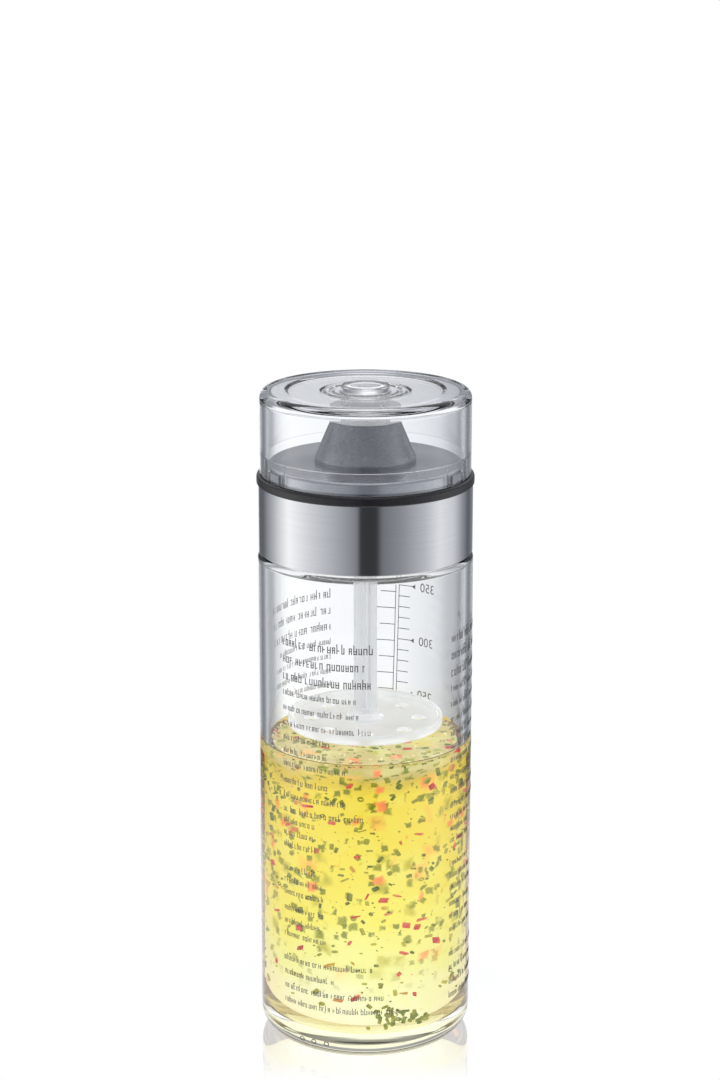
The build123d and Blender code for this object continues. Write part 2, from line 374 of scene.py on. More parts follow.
def dressing_finish():
    """The hazy oil and vinegar between the cloudy middle and the glass."""
    finish = Finish("dressing_oil", (0.98, 0.955, 0.75), Transmission_Weight=1.0, IOR=1.42)
    streaks = finish.noise(45.0, 3.0, (1, 1, 2))
    tone = finish.ramp(
        streaks, (0.3, (0.97, 0.92, 0.62)), (0.55, (0.985, 0.96, 0.76)), (0.8, (0.99, 0.98, 0.86))
    )
    finish.set("Base Color", tone)
    finish.set("Roughness", streaks * 0.04)
    haze = {"Color": haze_filter, "Density": haze_per_metre}
    surface = finish.tree.nodes["Material Output"]
    finish.plug(surface.inputs["Volume"], finish.node("ShaderNodeVolumeAbsorption", inputs=haze))
    return finish.material


def cloud_finish(level, floor):
    """The cloudy middle: yellow and greener towards the floor, with blurred bits showing through. It glows
    with a painted light that stands in for light passing through the cloud, and it pales to near white at
    the floor with painted light from below.
    """
    # Painted light: the cloud emits its tone as a glow in place of the light that passes through it.
    finish = Finish(
        "dressing_cloud", (0.3, 0.26, 0.1), Roughness=0.9, Emission_Strength=1.5, Specular_IOR_Level=0.0
    )
    rise = (finish.height() - floor) / (level - floor)
    drift = finish.noise(38.0, 4.0)
    # Painted light: the palest, near-white tones at the floor stand in for light shining up through the
    # cloud from below.
    layers_and_light_from_below = finish.ramp(
        rise + (drift - 0.5) * 0.3,
        (0.0, (0.84, 0.9, 0.95)),
        (0.1, (0.8, 0.89, 0.78)),
        (0.22, (0.78, 0.87, 0.46)),
        (0.38, (0.79, 0.81, 0.19)),
        (0.6, (0.78, 0.74, 0.11)),
        (0.88, (0.77, 0.69, 0.09)),
        (0.95, (0.6, 0.5, 0.08)),
        (1.0, (0.48, 0.42, 0.2)),
    )
    above_floor = rise.past(0.1, 5)
    pale = finish.noise(55.0, 3.0, roughness=0.6).past(0.5, 4)
    tone = finish.mix(pale * 0.45, layers_and_light_from_below, (0.78, 0.9, 0.46))
    for scale, share, herb, sharpness in (
        (130.0, 0.5, (0.42, 0.42, 0.02), 2.2),
        (210.0, 0.55, (0.22, 0.27, 0.004), 4.0),
        (300.0, 0.62, (0.13, 0.18, 0.002), 5.0),
        (95.0, 0.62, (0.9, 0.42, 0.12), 1.8),
        (170.0, 0.78, (0.85, 0.2, 0.1), 3.0),
    ):
        blot, pick = blurred_bits(finish, scale, sharpness)
        tone = finish.mix(blot * (pick > share) * above_floor * 0.85, tone, herb)
    # The base colour is kept dark so that the painted glow gives most of the cloud's colour.
    finish.set("Base Color", finish.mix(0.75, tone, (0, 0, 0)))
    finish.set("Emission Color", tone)
    return finish.material


def blurred_bits(finish, scale, sharpness):
    """Soft uneven blots at scattered points, and a random number that is the same all over each blot."""
    inputs = {"Vector": finish.place(), "Scale": scale * 1.6, "Detail": 2.0}
    bend = finish.node("ShaderNodeTexNoise", inputs=inputs, output="Color")
    bent = finish.node("ShaderNodeVectorMath", {"operation": "SCALE"}, {0: bend, "Scale": 0.6 / scale})
    place = finish.node("ShaderNodeVectorMath", {"operation": "ADD"}, {0: finish.place(), 1: bent})
    inputs = {"Vector": place, "Scale": scale}
    distance = finish.node("ShaderNodeTexVoronoi", {"distance": "CHEBYCHEV"}, inputs)
    tint = finish.node("ShaderNodeTexVoronoi", {"distance": "CHEBYCHEV"}, inputs, output="Color")
    return distance.past(0.3, -2 * sharpness), finish.split(tint)[0]


def speckled_finish(name, dark, middle, light, scale, roughness):
    """A bit of herb or pepper. Its tone varies, and the haze covers it more the deeper it hangs. The bit
    glows with its tone as a painted light, and the haze over it is a painted glow of the lit dressing.
    """
    # Painted light: the bit emits its tone as a glow, and its base colour is kept dark.
    finish = Finish(name, middle, Emission_Strength=0.72, Specular_IOR_Level=0.05)
    tone = finish.ramp(finish.noise(scale, 3.0), (0.32, dark), (0.5, middle), (0.68, light))
    depth = (finish.from_axis() - jar_bore) / (cloud_radius - jar_bore)
    sunk = finish.height() < liquid_level - unhazed_band
    tone = finish.mix(depth.past(0.32, 1.25) * sunk, tone, lit_haze_yellow)
    finish.set("Base Color", finish.mix(0.45, tone, (0, 0, 0)))
    finish.set("Emission Color", tone)
    finish.set("Roughness", finish.noise(scale * 2, 2.0) * 0.2 + roughness)
    return finish.material


def print_finish():
    """Screen-printed ink, a little uneven."""
    finish = Finish("print_grey", (0.08, 0.08, 0.078))
    ink = finish.noise(1500.0, 2.0)
    finish.set("Base Color", finish.ramp(ink, (0.3, (0.05, 0.05, 0.048)), (0.7, (0.11, 0.11, 0.108))))
    finish.set("Roughness", finish.noise(900.0, 2.0) * 0.2 + 0.4)
    return finish.material


# Pieces


def linked(name, bm):
    """Turn a bmesh into an object in the scene."""
    mesh = bpy.data.meshes.new(name)
    bm.to_mesh(mesh)
    bm.free()
    piece = bpy.data.objects.new(name, mesh)
    bpy.context.scene.collection.objects.link(piece)
    return piece


def finished(name, bm, material, body, replaced=(), sharp_angle=35.0):
    """Make a piece from a bmesh: its shading, its finish, and the body that it rides on."""
    piece = linked(name, bm)
    piece.data.materials.append(material)
    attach(piece, body)
    if replaced:
        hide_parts(*replaced)
    shade_evenly(piece, sharp_angle)
    return piece


def shade_evenly(piece, sharp_angle=35.0):
    """Shade smoothly up to sharp edges, and keep flat faces free of the roundings beside them."""
    for face in piece.data.polygons:
        face.use_smooth = True
    piece.data.set_sharp_from_angle(angle=math.radians(sharp_angle))
    modifier = piece.modifiers.new("even_shading", "WEIGHTED_NORMAL")
    modifier.keep_sharp = True


def tidied(bm):
    """Close seams and poles, and point the faces outwards."""
    bmesh.ops.remove_doubles(bm, verts=bm.verts, dist=0.0000005)
    bmesh.ops.dissolve_degenerate(bm, edges=bm.edges, dist=0.0000001)
    bmesh.ops.recalc_face_normals(bm, faces=bm.faces)
    return bm


def outline_loop(bm, outline, segments=edge_segments):
    """Draw a closed outline of (radius, height, cut-back) corners, rounded by bevels, as loose edges."""
    corners = [bm.verts.new((radius, 0, height)) for radius, height, _ in outline]
    bm.faces.new(corners)
    for cut_back in sorted({cut for _, _, cut in outline if cut}):
        cut = [corner for corner, (_, _, size) in zip(corners, outline) if size == cut_back]
        bmesh.ops.bevel(
            bm, geom=cut, offset=cut_back, affect="VERTICES", segments=segments, profile=0.5, material=-1
        )
    bmesh.ops.delete(bm, geom=bm.faces[:], context="FACES_ONLY")


def spun(outline, steps=round_steps, segments=edge_segments):
    """Spin a closed outline a full turn about the bottle's axis."""
    bm = bmesh.new()
    outline_loop(bm, outline, segments)
    on_axis = [edge for edge in bm.edges if all(abs(vert.co.x) < 0.000001 for vert in edge.verts)]
    bmesh.ops.delete(bm, geom=on_axis, context="EDGES")
    spin_round(bm, math.tau, steps)
    return tidied(bm)


def spin_round(bm, angle, steps, rise=0.0):
    """Spin everything about the bottle's axis, climbing by the rise on the way."""
    bmesh.ops.spin(
        bm,
        geom=bm.verts[:] + bm.edges[:] + bm.faces[:],
        cent=(0, 0, 0),
        axis=(0, 0, 1),
        dvec=(0, 0, rise / steps),
        angle=angle,
        steps=steps,
        use_merge=angle == math.tau,
    )


def sector(outline, start, angle, steps):
    """A closed part-turn of an outline, from the angle start, in degrees."""
    bm = bmesh.new()
    bm.faces.new([bm.verts.new((radius, 0, height)) for radius, height in outline])
    turn = Matrix.Rotation(math.radians(start), 3, "Z")
    bmesh.ops.rotate(bm, verts=bm.verts, cent=(0, 0, 0), matrix=turn)
    spin_round(bm, math.radians(angle), steps)
    return tidied(bm)


def carved(piece, cutters):
    """Cut or join other meshes with a piece, and keep the result as its mesh."""
    piece.modifiers.clear()
    for name, operation, bm in cutters:
        tool = linked(name, bm)
        modifier = piece.modifiers.new(name, "BOOLEAN")
        modifier.operation = operation
        modifier.object = tool
        modifier.solver = "EXACT"
        bpy.context.view_layer.update()
        graph = bpy.context.evaluated_depsgraph_get()
        result = bpy.data.meshes.new_from_object(piece.evaluated_get(graph))
        piece.modifiers.clear()
        piece.data = result
        bpy.data.objects.remove(tool)
    shade_evenly(piece)


def jar():
    punt_radius = jar_radius - punt_inset
    neck_root = shoulder_height + shoulder_rise
    throat_top = neck_root - throat_drop
    outline = [
        (0, punt_depth, 0),
        (punt_radius - punt_slope_width, punt_depth, 0.0012),
        (punt_radius, 0, 0.0006),
        (jar_radius, 0, jar_foot_round),
        (jar_radius, shoulder_height, 0.0012),
        (neck_radius, neck_root, 0.0008),
        (neck_radius, rim_height, 0.0009),
        (neck_bore, rim_height, 0.0009),
        (neck_bore, throat_top, 0.0006),
        (jar_bore, throat_top - throat_slope_height, 0.0006),
        (jar_bore, jar_floor, 0.005),
        (0, jar_floor, 0),
    ]
    finished("jar", spun(outline, segments=8), jar_glass_finish(), "jar", ["glass_jar"])


thread_pitch = 0.004
thread_turns = 1.75
thread_width = 0.0018
thread_depth = 0.001
thread_foot = 0.0002
thread_first_height = 0.1575


def neck_thread():
    """The glass thread: a blunt ridge that climbs one pitch a turn and fades at both ends."""
    base = neck_radius - thread_foot
    crest = neck_radius + thread_depth
    corners = [
        (base, -thread_width / 2),
        (crest, -thread_width / 6),
        (crest, thread_width / 6),
        (base, thread_width / 2),
    ]
    bm = bmesh.new()
    bm.faces.new([bm.verts.new((radius, 0, thread_first_height + z)) for radius, z in corners])
    climb = thread_pitch * thread_turns
    spin_round(bm, math.tau * thread_turns, int(round_steps * thread_turns), climb)
    for vert in bm.verts:
        radius = math.hypot(vert.co.x, vert.co.y)
        run_in = min(vert.co.z - thread_first_height, thread_first_height + climb - vert.co.z)
        share = min(1.0, max(0.0, run_in / thread_pitch * 8 + 1))
        if radius > neck_radius:
            vert.co.xy *= (neck_radius + (radius - neck_radius) * share) / radius
    finished("neck_thread", tidied(bm), jar_glass_finish(), "jar")


def collar():
    inner = collar_high.x - collar_thickness
    outline = [
        (collar_high.x - collar_lip_width, collar_low.z, 0.0001),
        (collar_high.x, collar_low.z, 0.0003),
        (collar_high.x, collar_high.z, 0.00015),
        (inner, collar_high.z, 0),
        (inner, collar_low.z + collar_thickness, 0),
        (collar_high.x - collar_lip_width, collar_low.z + collar_thickness, 0.0001),
    ]
    finished("collar", spun(outline), collar_steel_finish(), "closure", ["steel_collar"])


def cap_ring():
    inner = plate_high.x + plate_clearance
    step = collar_high.x - collar_thickness
    outline = [
        (inner, plate_low.z, 0),
        (step, plate_low.z, 0),
        (step, ring_low.z, 0),
        (ring_high.x, ring_low.z, 0.00035),
        (ring_high.x, ring_high.z, 0.0009),
        (inner, ring_high.z, 0),
    ]
    bm = spun(outline, segments=8)
    material = black_silicone_finish()
    finished("cap_ring", bm, material, "closure_lead", ["cap_seal_ring"])


def plate():
    hole = cone_base_radius + cone_clearance
    outline = [
        (plate_high.x - plate_thickness, plate_low.z, 0),
        (plate_high.x, plate_low.z, 0.0001),
        (plate_high.x, plate_high.z, 0.0009),
        (hole, plate_high.z, 0.0002),
        (hole, plate_high.z - plate_thickness, 0),
        (plate_high.x - plate_thickness, plate_high.z - plate_thickness, 0.0004),
    ]
    finished("plate", spun(outline), plate_steel_finish(), "closure", ["top_plate"])


def cone():
    flange_top = plate_high.z - plate_thickness
    slope_bottom = plate_high.z + cone_straight_height
    inner = cone_base_radius - cone_wall
    outline = [
        (inner, cone_low.z, 0),
        (cone_high.x, cone_low.z, 0),
        (cone_high.x, flange_top, 0),
        (cone_base_radius, flange_top, 0),
        (cone_base_radius, slope_bottom, 0.0002),
        (cone_mouth_radius, cone_high.z, 0.0002),
        (cone_mouth_radius - cone_wall, cone_high.z, 0.0002),
        (inner, slope_bottom, 0.0002),
    ]
    finished("cone", spun(outline), cone_steel_finish(), "closure", ["spout_cone"])


def disc():
    top = disc_low.z + disc_floor
    rim = disc_low.z + disc_height
    outline = [
        (disc_pin_bore, disc_low.z, 0),
        (disc_high.x, disc_low.z, 0.0011),
        (disc_high.x, rim, 0.0005),
        (disc_high.x - disc_wall, rim, 0.0005),
        (disc_high.x - disc_wall, top, 0.0008),
        (disc_hub_radius, top, 0.0008),
        (disc_hub_radius, top + disc_hub_rise, 0.0005),
        (disc_hub_bore, top + disc_hub_rise, 0.0003),
        (disc_hub_bore, top, 0),
        (disc_pin_bore, top, 0),
    ]
    piece = finished(
        "disc",
        spun(outline, steps=128),
        frosted_finish("frosted_disc", 0.6, 0.14, 0.32),
        "mixer",
        ["mixing_disc"],
    )
    drills = []
    for index in range(disc_hole_count):
        turn = math.tau * index / disc_hole_count
        centre = Vector((math.cos(turn), math.sin(turn), 0)) * (disc_high.x - disc_hole_inset)
        centre.z = disc_low.z + disc_floor / 2
        bm = bmesh.new()
        bmesh.ops.create_cone(
            bm,
            cap_ends=True,
            segments=32,
            radius1=disc_hole_radius,
            radius2=disc_hole_radius,
            depth=disc_floor * 2,
            matrix=Matrix.Translation(centre),
        )
        drills.append((f"drill_{index}", "DIFFERENCE", bm))
    carved(piece, drills)


def cap():
    recess_floor = cap_top - cap_recess_depth
    step = cap_bottom + cap_step_height
    skirt_bore = cap_radius - cap_skirt_wall
    plug_top = plug_high.z - plug_stem_height
    ripples = [
        (radius + side * ripple_half_width, recess_floor - (0 if side else ripple_depth), ripple_round)
        for radius in ripple_radii
        for side in (1, 0, -1)
    ]
    outline = [
        (skirt_bore, cap_bottom, 0.0004),
        (cap_radius, cap_bottom, 0.0004),
        (cap_radius, cap_top, 0.0024),
        (cap_recess_radius, cap_top, 0.0002),
        (cap_recess_radius - cap_recess_slope_width, recess_floor, 0.0002),
        *ripples,
        (button_radius, recess_floor, 0.0002),
        (button_radius, cap_high.z, 0.0014),
        (0, cap_high.z, 0),
        (0, cap_ceiling, 0),
        (boss_radius - boss_wall, cap_ceiling, 0.0004),
        (boss_radius - boss_wall, plug_top, 0.0002),
        (boss_radius, plug_top, 0.0002),
        (boss_radius, cap_ceiling, 0.0005),
        (cap_radius - cap_upper_wall, cap_ceiling, 0.0015),
        (cap_radius - cap_upper_wall, step, 0.0001),
        (skirt_bore, step, 0.0001),
    ]
    bm = spun(outline, segments=6)
    piece = finished("cap", bm, clear_cap_finish(), "cap", ["clear_cap"])
    pocket_radius = skirt_bore + pocket_depth
    lug_root = pocket_radius + pocket_depth / 2
    lug_bore = plate_high.x + plate_clearance
    cutters = []
    for index in range(lug_count):
        centre = lug_first_angle + 360.0 / lug_count * index
        pocket = [
            (lug_bore, cap_bottom - pocket_overcut),
            (pocket_radius, cap_bottom - pocket_overcut),
            (pocket_radius, step),
            (lug_bore, step),
        ]
        lug = [
            (lug_bore, cap_bottom),
            (lug_root, cap_bottom),
            (lug_root, cap_bottom + lug_height),
            (lug_bore, cap_bottom + lug_height),
        ]
        pocket_mesh = sector(pocket, centre - pocket_angle / 2, pocket_angle, 12)
        lug_mesh = sector(lug, centre - lug_angle / 2, lug_angle, 8)
        cutters.append((f"pocket_{index}", "DIFFERENCE", pocket_mesh))
        cutters.append((f"lug_{index}", "UNION", lug_mesh))
    carved(piece, cutters)


# The dressing

liquid_level = 0.0945
meniscus = 0.0009
wetting = 0.00004
cloud_radius = 0.0212
cloud_depth = 0.0012
cloud_floor_gap = 0.0004
cloud_top_radius = 0.0284
cloud_flare_height = 0.006

# How far the bits keep from the cloud, the glass, the surface and the floor
cloud_clearance = 0.0004
glass_clearance = 0.0012
surface_clearance = 0.0008
floor_clearance = 0.0035

# Bands where they gather or hang: thin under the surface, deep on the floor
surface_band = 0.0008
surface_band_inner_radius = 0.004
floor_band = 0.012
floor_band_inset = 0.001
hanging_band_rise = 0.004
unhazed_band = 0.003

# How many of each bit float in it
chive_count = 520
settled_chive_count = 34
pepper_count = 150
herb_speck_count = 620
spice_speck_count = 420
edge_bead_count = 340
inner_bead_count = 60


def dressing():
    outline = [
        (0, jar_floor - wetting, 0),
        (jar_bore + wetting, jar_floor - wetting, 0.005),
        (jar_bore + wetting, liquid_level + meniscus, 0),
        (jar_bore - 0.0004, liquid_level + meniscus * 0.45, 0),
        (jar_bore - 0.0014, liquid_level + meniscus * 0.1, 0.0004),
        (jar_bore - 0.0028, liquid_level, 0),
        (0, liquid_level, 0),
    ]
    finished("dressing", spun(outline, segments=8), dressing_finish(), "jar")
    floor = jar_floor + cloud_floor_gap
    top = liquid_level - cloud_depth
    cloud = [
        (0, floor, 0),
        (cloud_radius, floor, 0.0035),
        (cloud_radius, top - cloud_flare_height, 0.002),
        (cloud_top_radius, top - 0.0012, 0.0006),
        (cloud_top_radius, top, 0.0006),
        (0, top, 0),
    ]
    finished("dressing_cloud", spun(cloud, steps=96), cloud_finish(top, floor), "jar")


def tumbled(spot):
    """A place at the spot with a random turn and tilt."""
    turn = Matrix.Rotation(random.uniform(0, math.tau), 4, "Z")
    tilt = Matrix.Rotation(random.uniform(0, math.pi), 4, "X")
    return Matrix.Translation(spot) @ turn @ tilt


def scattered(count, low, high, inner, outer):
    """Random places between two heights and two distances from the axis."""
    places = []
    for _ in range(count):
        angle = random.uniform(0, math.tau)
        radius = random.uniform(inner, outer)
        height = low + (high - low) * random.random() ** 0.7
        places.append(tumbled((radius * math.cos(angle), radius * math.sin(angle), height)))
    return places


def liquid_places(count, surface_share, bottom_share):
    """Most bits hang anywhere; some gather under the surface and some on the floor."""
    inner = cloud_radius + cloud_clearance
    outer = jar_bore - glass_clearance
    at_surface = int(count * surface_share)
    on_floor = int(count * bottom_share)
    top = liquid_level - surface_clearance
    bottom = jar_floor + floor_clearance
    return (
        scattered(at_surface, top - surface_band, top, surface_band_inner_radius, outer)
        + scattered(on_floor, bottom, bottom + floor_band, inner, outer - floor_band_inset)
        + scattered(count - at_surface - on_floor, bottom + hanging_band_rise, top, inner, outer)
    )


def scale_matrix(x, y, z):
    return Matrix.Diagonal((x, y, z, 1))


def settled_heap(count, first_angle, last_angle):
    """Places in a loose heap on the floor at the front, between two turns from the front."""
    places = []
    for _ in range(count):
        angle = math.radians(random.triangular(first_angle, last_angle))
        radius = jar_bore - random.uniform(0.0014, 0.0026)
        height = jar_floor + 0.0024 + random.uniform(0, 0.0085) * math.cos(angle * 2)
        places.append(tumbled((radius * math.sin(angle), -radius * math.cos(angle), height)))
    return places


def chives():
    """Short rings cut from a hollow stalk."""
    bm = bmesh.new()
    for place in liquid_places(chive_count, 0.2, 0.03) + settled_heap(settled_chive_count, -3, 42):
        radius = random.uniform(0.0005, 0.00095)
        bmesh.ops.create_cone(
            bm,
            cap_ends=False,
            segments=10,
            radius1=radius,
            radius2=radius,
            depth=random.choice((0.0005, 0.0009, 0.0013, 0.0017, 0.0022)),
            matrix=place @ scale_matrix(1, random.uniform(0.4, 0.9), 1),
        )
    bmesh.ops.recalc_face_normals(bm, faces=bm.faces)
    bmesh.ops.solidify(bm, geom=bm.faces[:], thickness=0.00018)
    bmesh.ops.recalc_face_normals(bm, faces=bm.faces)
    material = speckled_finish(
        "chive_green", (0.05, 0.09, 0.001), (0.19, 0.25, 0.002), (0.44, 0.42, 0.008), 330.0, 0.35
    )
    finished("chives", bm, material, "jar")


def pepper_bits():
    """Small uneven dice of red pepper."""
    bm = bmesh.new()
    for place in liquid_places(pepper_count, 0.2, 0.04):
        length = random.uniform(0.001, 0.0034)
        width = random.uniform(0.0009, 0.0022)
        thickness = random.uniform(0.0004, 0.0009)
        shape = scale_matrix(length, width, thickness)
        made = bmesh.ops.create_cube(bm, size=1, matrix=place @ shape)
        for vert in made["verts"]:
            vert.co += Vector(random.uniform(-0.0002, 0.0002) for _ in range(3))
    bmesh.ops.bevel(
        bm, geom=bm.edges[:], offset=0.0001, affect="EDGES", segments=1, profile=0.5, material=-1
    )
    material = speckled_finish(
        "pepper_red", (0.5, 0.01, 0.03), (0.78, 0.04, 0.05), (0.9, 0.22, 0.14), 260.0, 0.3
    )
    finished("pepper_bits", bm, material, "jar")


def surface_beads():
    """Small oil beads along the edge of the liquid and a few farther in."""
    bm = bmesh.new()
    level = liquid_level
    edge = scattered(edge_bead_count, level - 0.0001, level + 0.0003, jar_bore - 0.0024, jar_bore - 0.0009)
    for place in edge:
        radius = random.uniform(0.00012, 0.0004)
        bmesh.ops.create_icosphere(bm, subdivisions=2, radius=radius, matrix=place)
    for place in scattered(inner_bead_count, level - 0.0002, level + 0.0001, 0.006, jar_bore - 0.003):
        radius = random.uniform(0.0002, 0.0007)
        bmesh.ops.create_icosphere(bm, subdivisions=2, radius=radius, matrix=place)
    finished("surface_beads", bm, bead_finish(), "jar", sharp_angle=60.0)


def bead_finish():
    # Painted light: the beads emit a faint pale glow, lighter along the streaks.
    finish = Finish("oil_bead", (0.99, 0.97, 0.85), Transmission_Weight=1.0, IOR=1.3, Emission_Strength=0.1)
    streaks = finish.noise(300.0, 2.0)
    finish.set("Base Color", finish.ramp(streaks, (0.3, (0.98, 0.95, 0.76)), (0.7, (1.0, 0.99, 0.93))))
    finish.set("Emission Color", finish.ramp(streaks, (0.3, (0.9, 0.85, 0.6)), (0.7, (1.0, 1.0, 0.95))))
    finish.set("Roughness", streaks * 0.05)
    return finish.material


def specks(name, count, low, high, material):
    """Fine flattened crumbs between two sizes."""
    bm = bmesh.new()
    for place in liquid_places(count, 0.25, 0.05):
        size = random.uniform(low, high)
        shape = scale_matrix(size, size * random.uniform(0.5, 0.9), size * random.uniform(0.25, 0.6))
        bmesh.ops.create_icosphere(bm, subdivisions=1, radius=0.5, matrix=place @ shape)
    finished(name, bm, material, "jar", sharp_angle=60.0)


def herb_specks():
    material = speckled_finish(
        "herb_green", (0.05, 0.08, 0.001), (0.19, 0.22, 0.002), (0.42, 0.38, 0.008), 420.0, 0.4
    )
    specks("herb_specks", herb_speck_count, 0.0004, 0.0013, material)


def spice_specks():
    material = speckled_finish(
        "spice_brown", (0.15, 0.05, 0.005), (0.45, 0.2, 0.02), (0.75, 0.45, 0.06), 420.0, 0.4
    )
    specks("spice_specks", spice_speck_count, 0.0003, 0.0008, material)


# Prints on the glass

print_lift = 0.00004
print_thickness = 0.00004
bar_piece = 0.001


def wrapped(bm, angle):
    """Bend a flat print, drawn in x and z, round the jar at an angle from the front."""
    for vert in bm.verts:
        turn = math.radians(angle) + vert.co.x / jar_radius
        radius = jar_radius + print_lift - vert.co.y
        vert.co = Vector((radius * math.sin(turn), -radius * math.cos(turn), vert.co.z))


def add_bar(bm, x, z, width, height):
    """Add a flat bar with its left end at x and its middle at z."""
    pieces = max(1, int(width / bar_piece))
    matrix = Matrix.Translation((x + width / 2, 0, z)) @ Matrix.Rotation(math.pi / 2, 4, "X")
    bmesh.ops.create_grid(
        bm, x_segments=pieces, y_segments=1, size=0.5, matrix=matrix @ scale_matrix(width, height, 1)
    )


def add_upright(bm, x, bottom, top, width):
    add_bar(bm, x - width / 2, (bottom + top) / 2, width, top - bottom)


# Shares of a stroke row's size
stroke_share = 0.14
letter_gap = 0.2
word_gap = 0.45
tall_stem = 1.5


def word_row(bm, width, z, size):
    """A row of plain strokes, grouped like words: stems of two heights, some joined by short bars."""
    stroke = size * stroke_share
    x = 0
    while x < width:
        for _ in range(random.randint(2, 8)):
            letter = size * random.uniform(0.42, 0.6)
            stem = random.choice((1.0, 1.0, 1.0, 1.0, tall_stem))
            add_upright(bm, x + stroke / 2, z, z + size * stem, stroke)
            if random.random() < 0.7:
                add_upright(bm, x + letter - stroke / 2, z, z + size, stroke)
            for level in random.sample((0.09, 0.5, 0.91), random.choice((1, 1, 2))):
                add_bar(bm, x + stroke, z + size * level, letter - stroke * 2, stroke)
            x += letter + size * letter_gap
            if x > width:
                break
        x += size * word_gap


column_turns = (("recipe_front", -48.8), ("recipe_side", 52.0), ("recipe_back", 201.0))

# Each group of rows: the height of its first row, its pitch, the size of its strokes, and its rows' widths
recipe_groups = [
    (0.131, 0.0053, 0.002, (0.031, 0.028, 0.0285)),
    (0.1154, 0.0048, 0.0014, (0.0245, 0.0255, 0.0292)),
    (0.1013, 0.0041, 0.00135, (0.0175, 0.0155, 0.0215)),
    (0.0877, 0.0046, 0.0014, (0.016, 0.0215, 0.0265)),
    (0.0749, 0.0038, 0.00135, (0.011, 0.0112, 0.0122)),
    (0.0597, 0.0039, 0.00135, (0.0125, 0.014, 0.0145)),
    (0.0467, 0.0042, 0.00135, (0.014, 0.0138, 0.0155)),
    (0.0303, 0.0046, 0.0014, (0.0295, 0.0175, 0.0325, 0.0375)),
]


def recipe_columns():
    """Columns of plain stroke rows on the front and round the sides."""
    for name, angle in column_turns:
        bm = bmesh.new()
        for top, pitch, size, widths in recipe_groups:
            for row, width in enumerate(widths):
                word_row(bm, width, top - row * pitch - size / 2, size)
        bmesh.ops.solidify(bm, geom=bm.faces[:], thickness=print_thickness)
        wrapped(bm, angle)
        bmesh.ops.recalc_face_normals(bm, faces=bm.faces)
        finished(name, bm, print_finish(), "jar")


def numeral_mesh(text, size):
    """A number as a flat mesh in x and z."""
    curve = bpy.data.curves.new("numeral", "FONT")
    curve.body = text
    curve.size = size
    curve.align_x = "LEFT"
    curve.align_y = "CENTER"
    curve.resolution_u = 3
    holder = bpy.data.objects.new("numeral", curve)
    bpy.context.scene.collection.objects.link(holder)
    bpy.context.view_layer.update()
    graph = bpy.context.evaluated_depsgraph_get()
    mesh = bpy.data.meshes.new_from_object(holder.evaluated_get(graph))
    bpy.data.objects.remove(holder)
    bm = bmesh.new()
    bm.from_mesh(mesh)
    bpy.data.meshes.remove(mesh)
    upright = Matrix.Rotation(math.pi / 2, 3, "X")
    bmesh.ops.rotate(bm, verts=bm.verts, cent=(0, 0, 0), matrix=upright)
    return bm


scale_angle = 160.9
scale_line = 0.00024
line_spacing = 0.00115
first_mark = 50
full_mark = 350
mark_step = 10
numbered_step = 50
full_mark_height = 0.1341
millilitre = 0.000354
mark_length = 0.0041
long_mark_length = 0.0055
ounce_mark_height = 0.1264
half_ounce = 0.00535
ounce_mark_length = 0.0065
half_ounce_mark_length = 0.0052
arrow_radius = 0.0009
numeral_size = 0.0042
numeral_reach = 0.0141
scale_lean = 0.027


def mark_height(amount):
    return full_mark_height - (full_mark - amount) * millilitre


def add_arrow(bm, x, z):
    """A small triangle that points along a mark from its outer end."""
    upright = Matrix.Rotation(math.pi / 2, 4, "X")
    sideways = Matrix.Rotation(-math.pi / 2, 4, "Z")
    matrix = Matrix.Translation((x, 0, z)) @ upright @ sideways
    bmesh.ops.create_circle(bm, cap_ends=True, segments=3, radius=arrow_radius, matrix=matrix)


def measuring_scale():
    """Two upright lines on the back, with marks for millilitres on one and for half ounces on the other."""
    bm = bmesh.new()
    bottom = mark_height(first_mark)
    top = mark_height(full_mark + mark_step)
    left = -line_spacing / 2
    right = line_spacing / 2
    add_upright(bm, left, bottom, top, scale_line)
    add_upright(bm, right, bottom, top, scale_line)
    for amount in range(first_mark, full_mark + 1, mark_step):
        numbered = amount % numbered_step == 0
        length = long_mark_length if numbered else mark_length
        add_bar(bm, left - length, mark_height(amount), length, scale_line)
        if numbered:
            add_arrow(bm, left - length, mark_height(amount))
    for index in range(-1, int((ounce_mark_height - bottom) / half_ounce)):
        length = half_ounce_mark_length if index % 2 else ounce_mark_length
        add_bar(bm, right, ounce_mark_height - index * half_ounce, length, scale_line)
    bmesh.ops.solidify(bm, geom=bm.faces[:], thickness=print_thickness)
    for amount in range(first_mark, full_mark + 1, numbered_step):
        numeral = numeral_mesh(str(amount), numeral_size)
        place = (left - numeral_reach, 0, mark_height(amount))
        bmesh.ops.translate(numeral, verts=numeral.verts, vec=place)
        bmesh.ops.solidify(numeral, geom=numeral.faces[:], thickness=print_thickness)
        mesh = bpy.data.meshes.new("numeral")
        numeral.to_mesh(mesh)
        numeral.free()
        bm.from_mesh(mesh)
        bpy.data.meshes.remove(mesh)
    for vert in bm.verts:
        vert.co.x -= scale_lean * (vert.co.z - ounce_mark_height)
    wrapped(bm, scale_angle)
    bmesh.ops.recalc_face_normals(bm, faces=bm.faces)
    finished("measuring_scale", bm, print_finish(), "jar")


foot_ring_angles = (-36.5, -29.0, -21.5)
foot_ring_height = 0.0052
foot_ring_radius = 0.00086
foot_ring_line = 0.00028


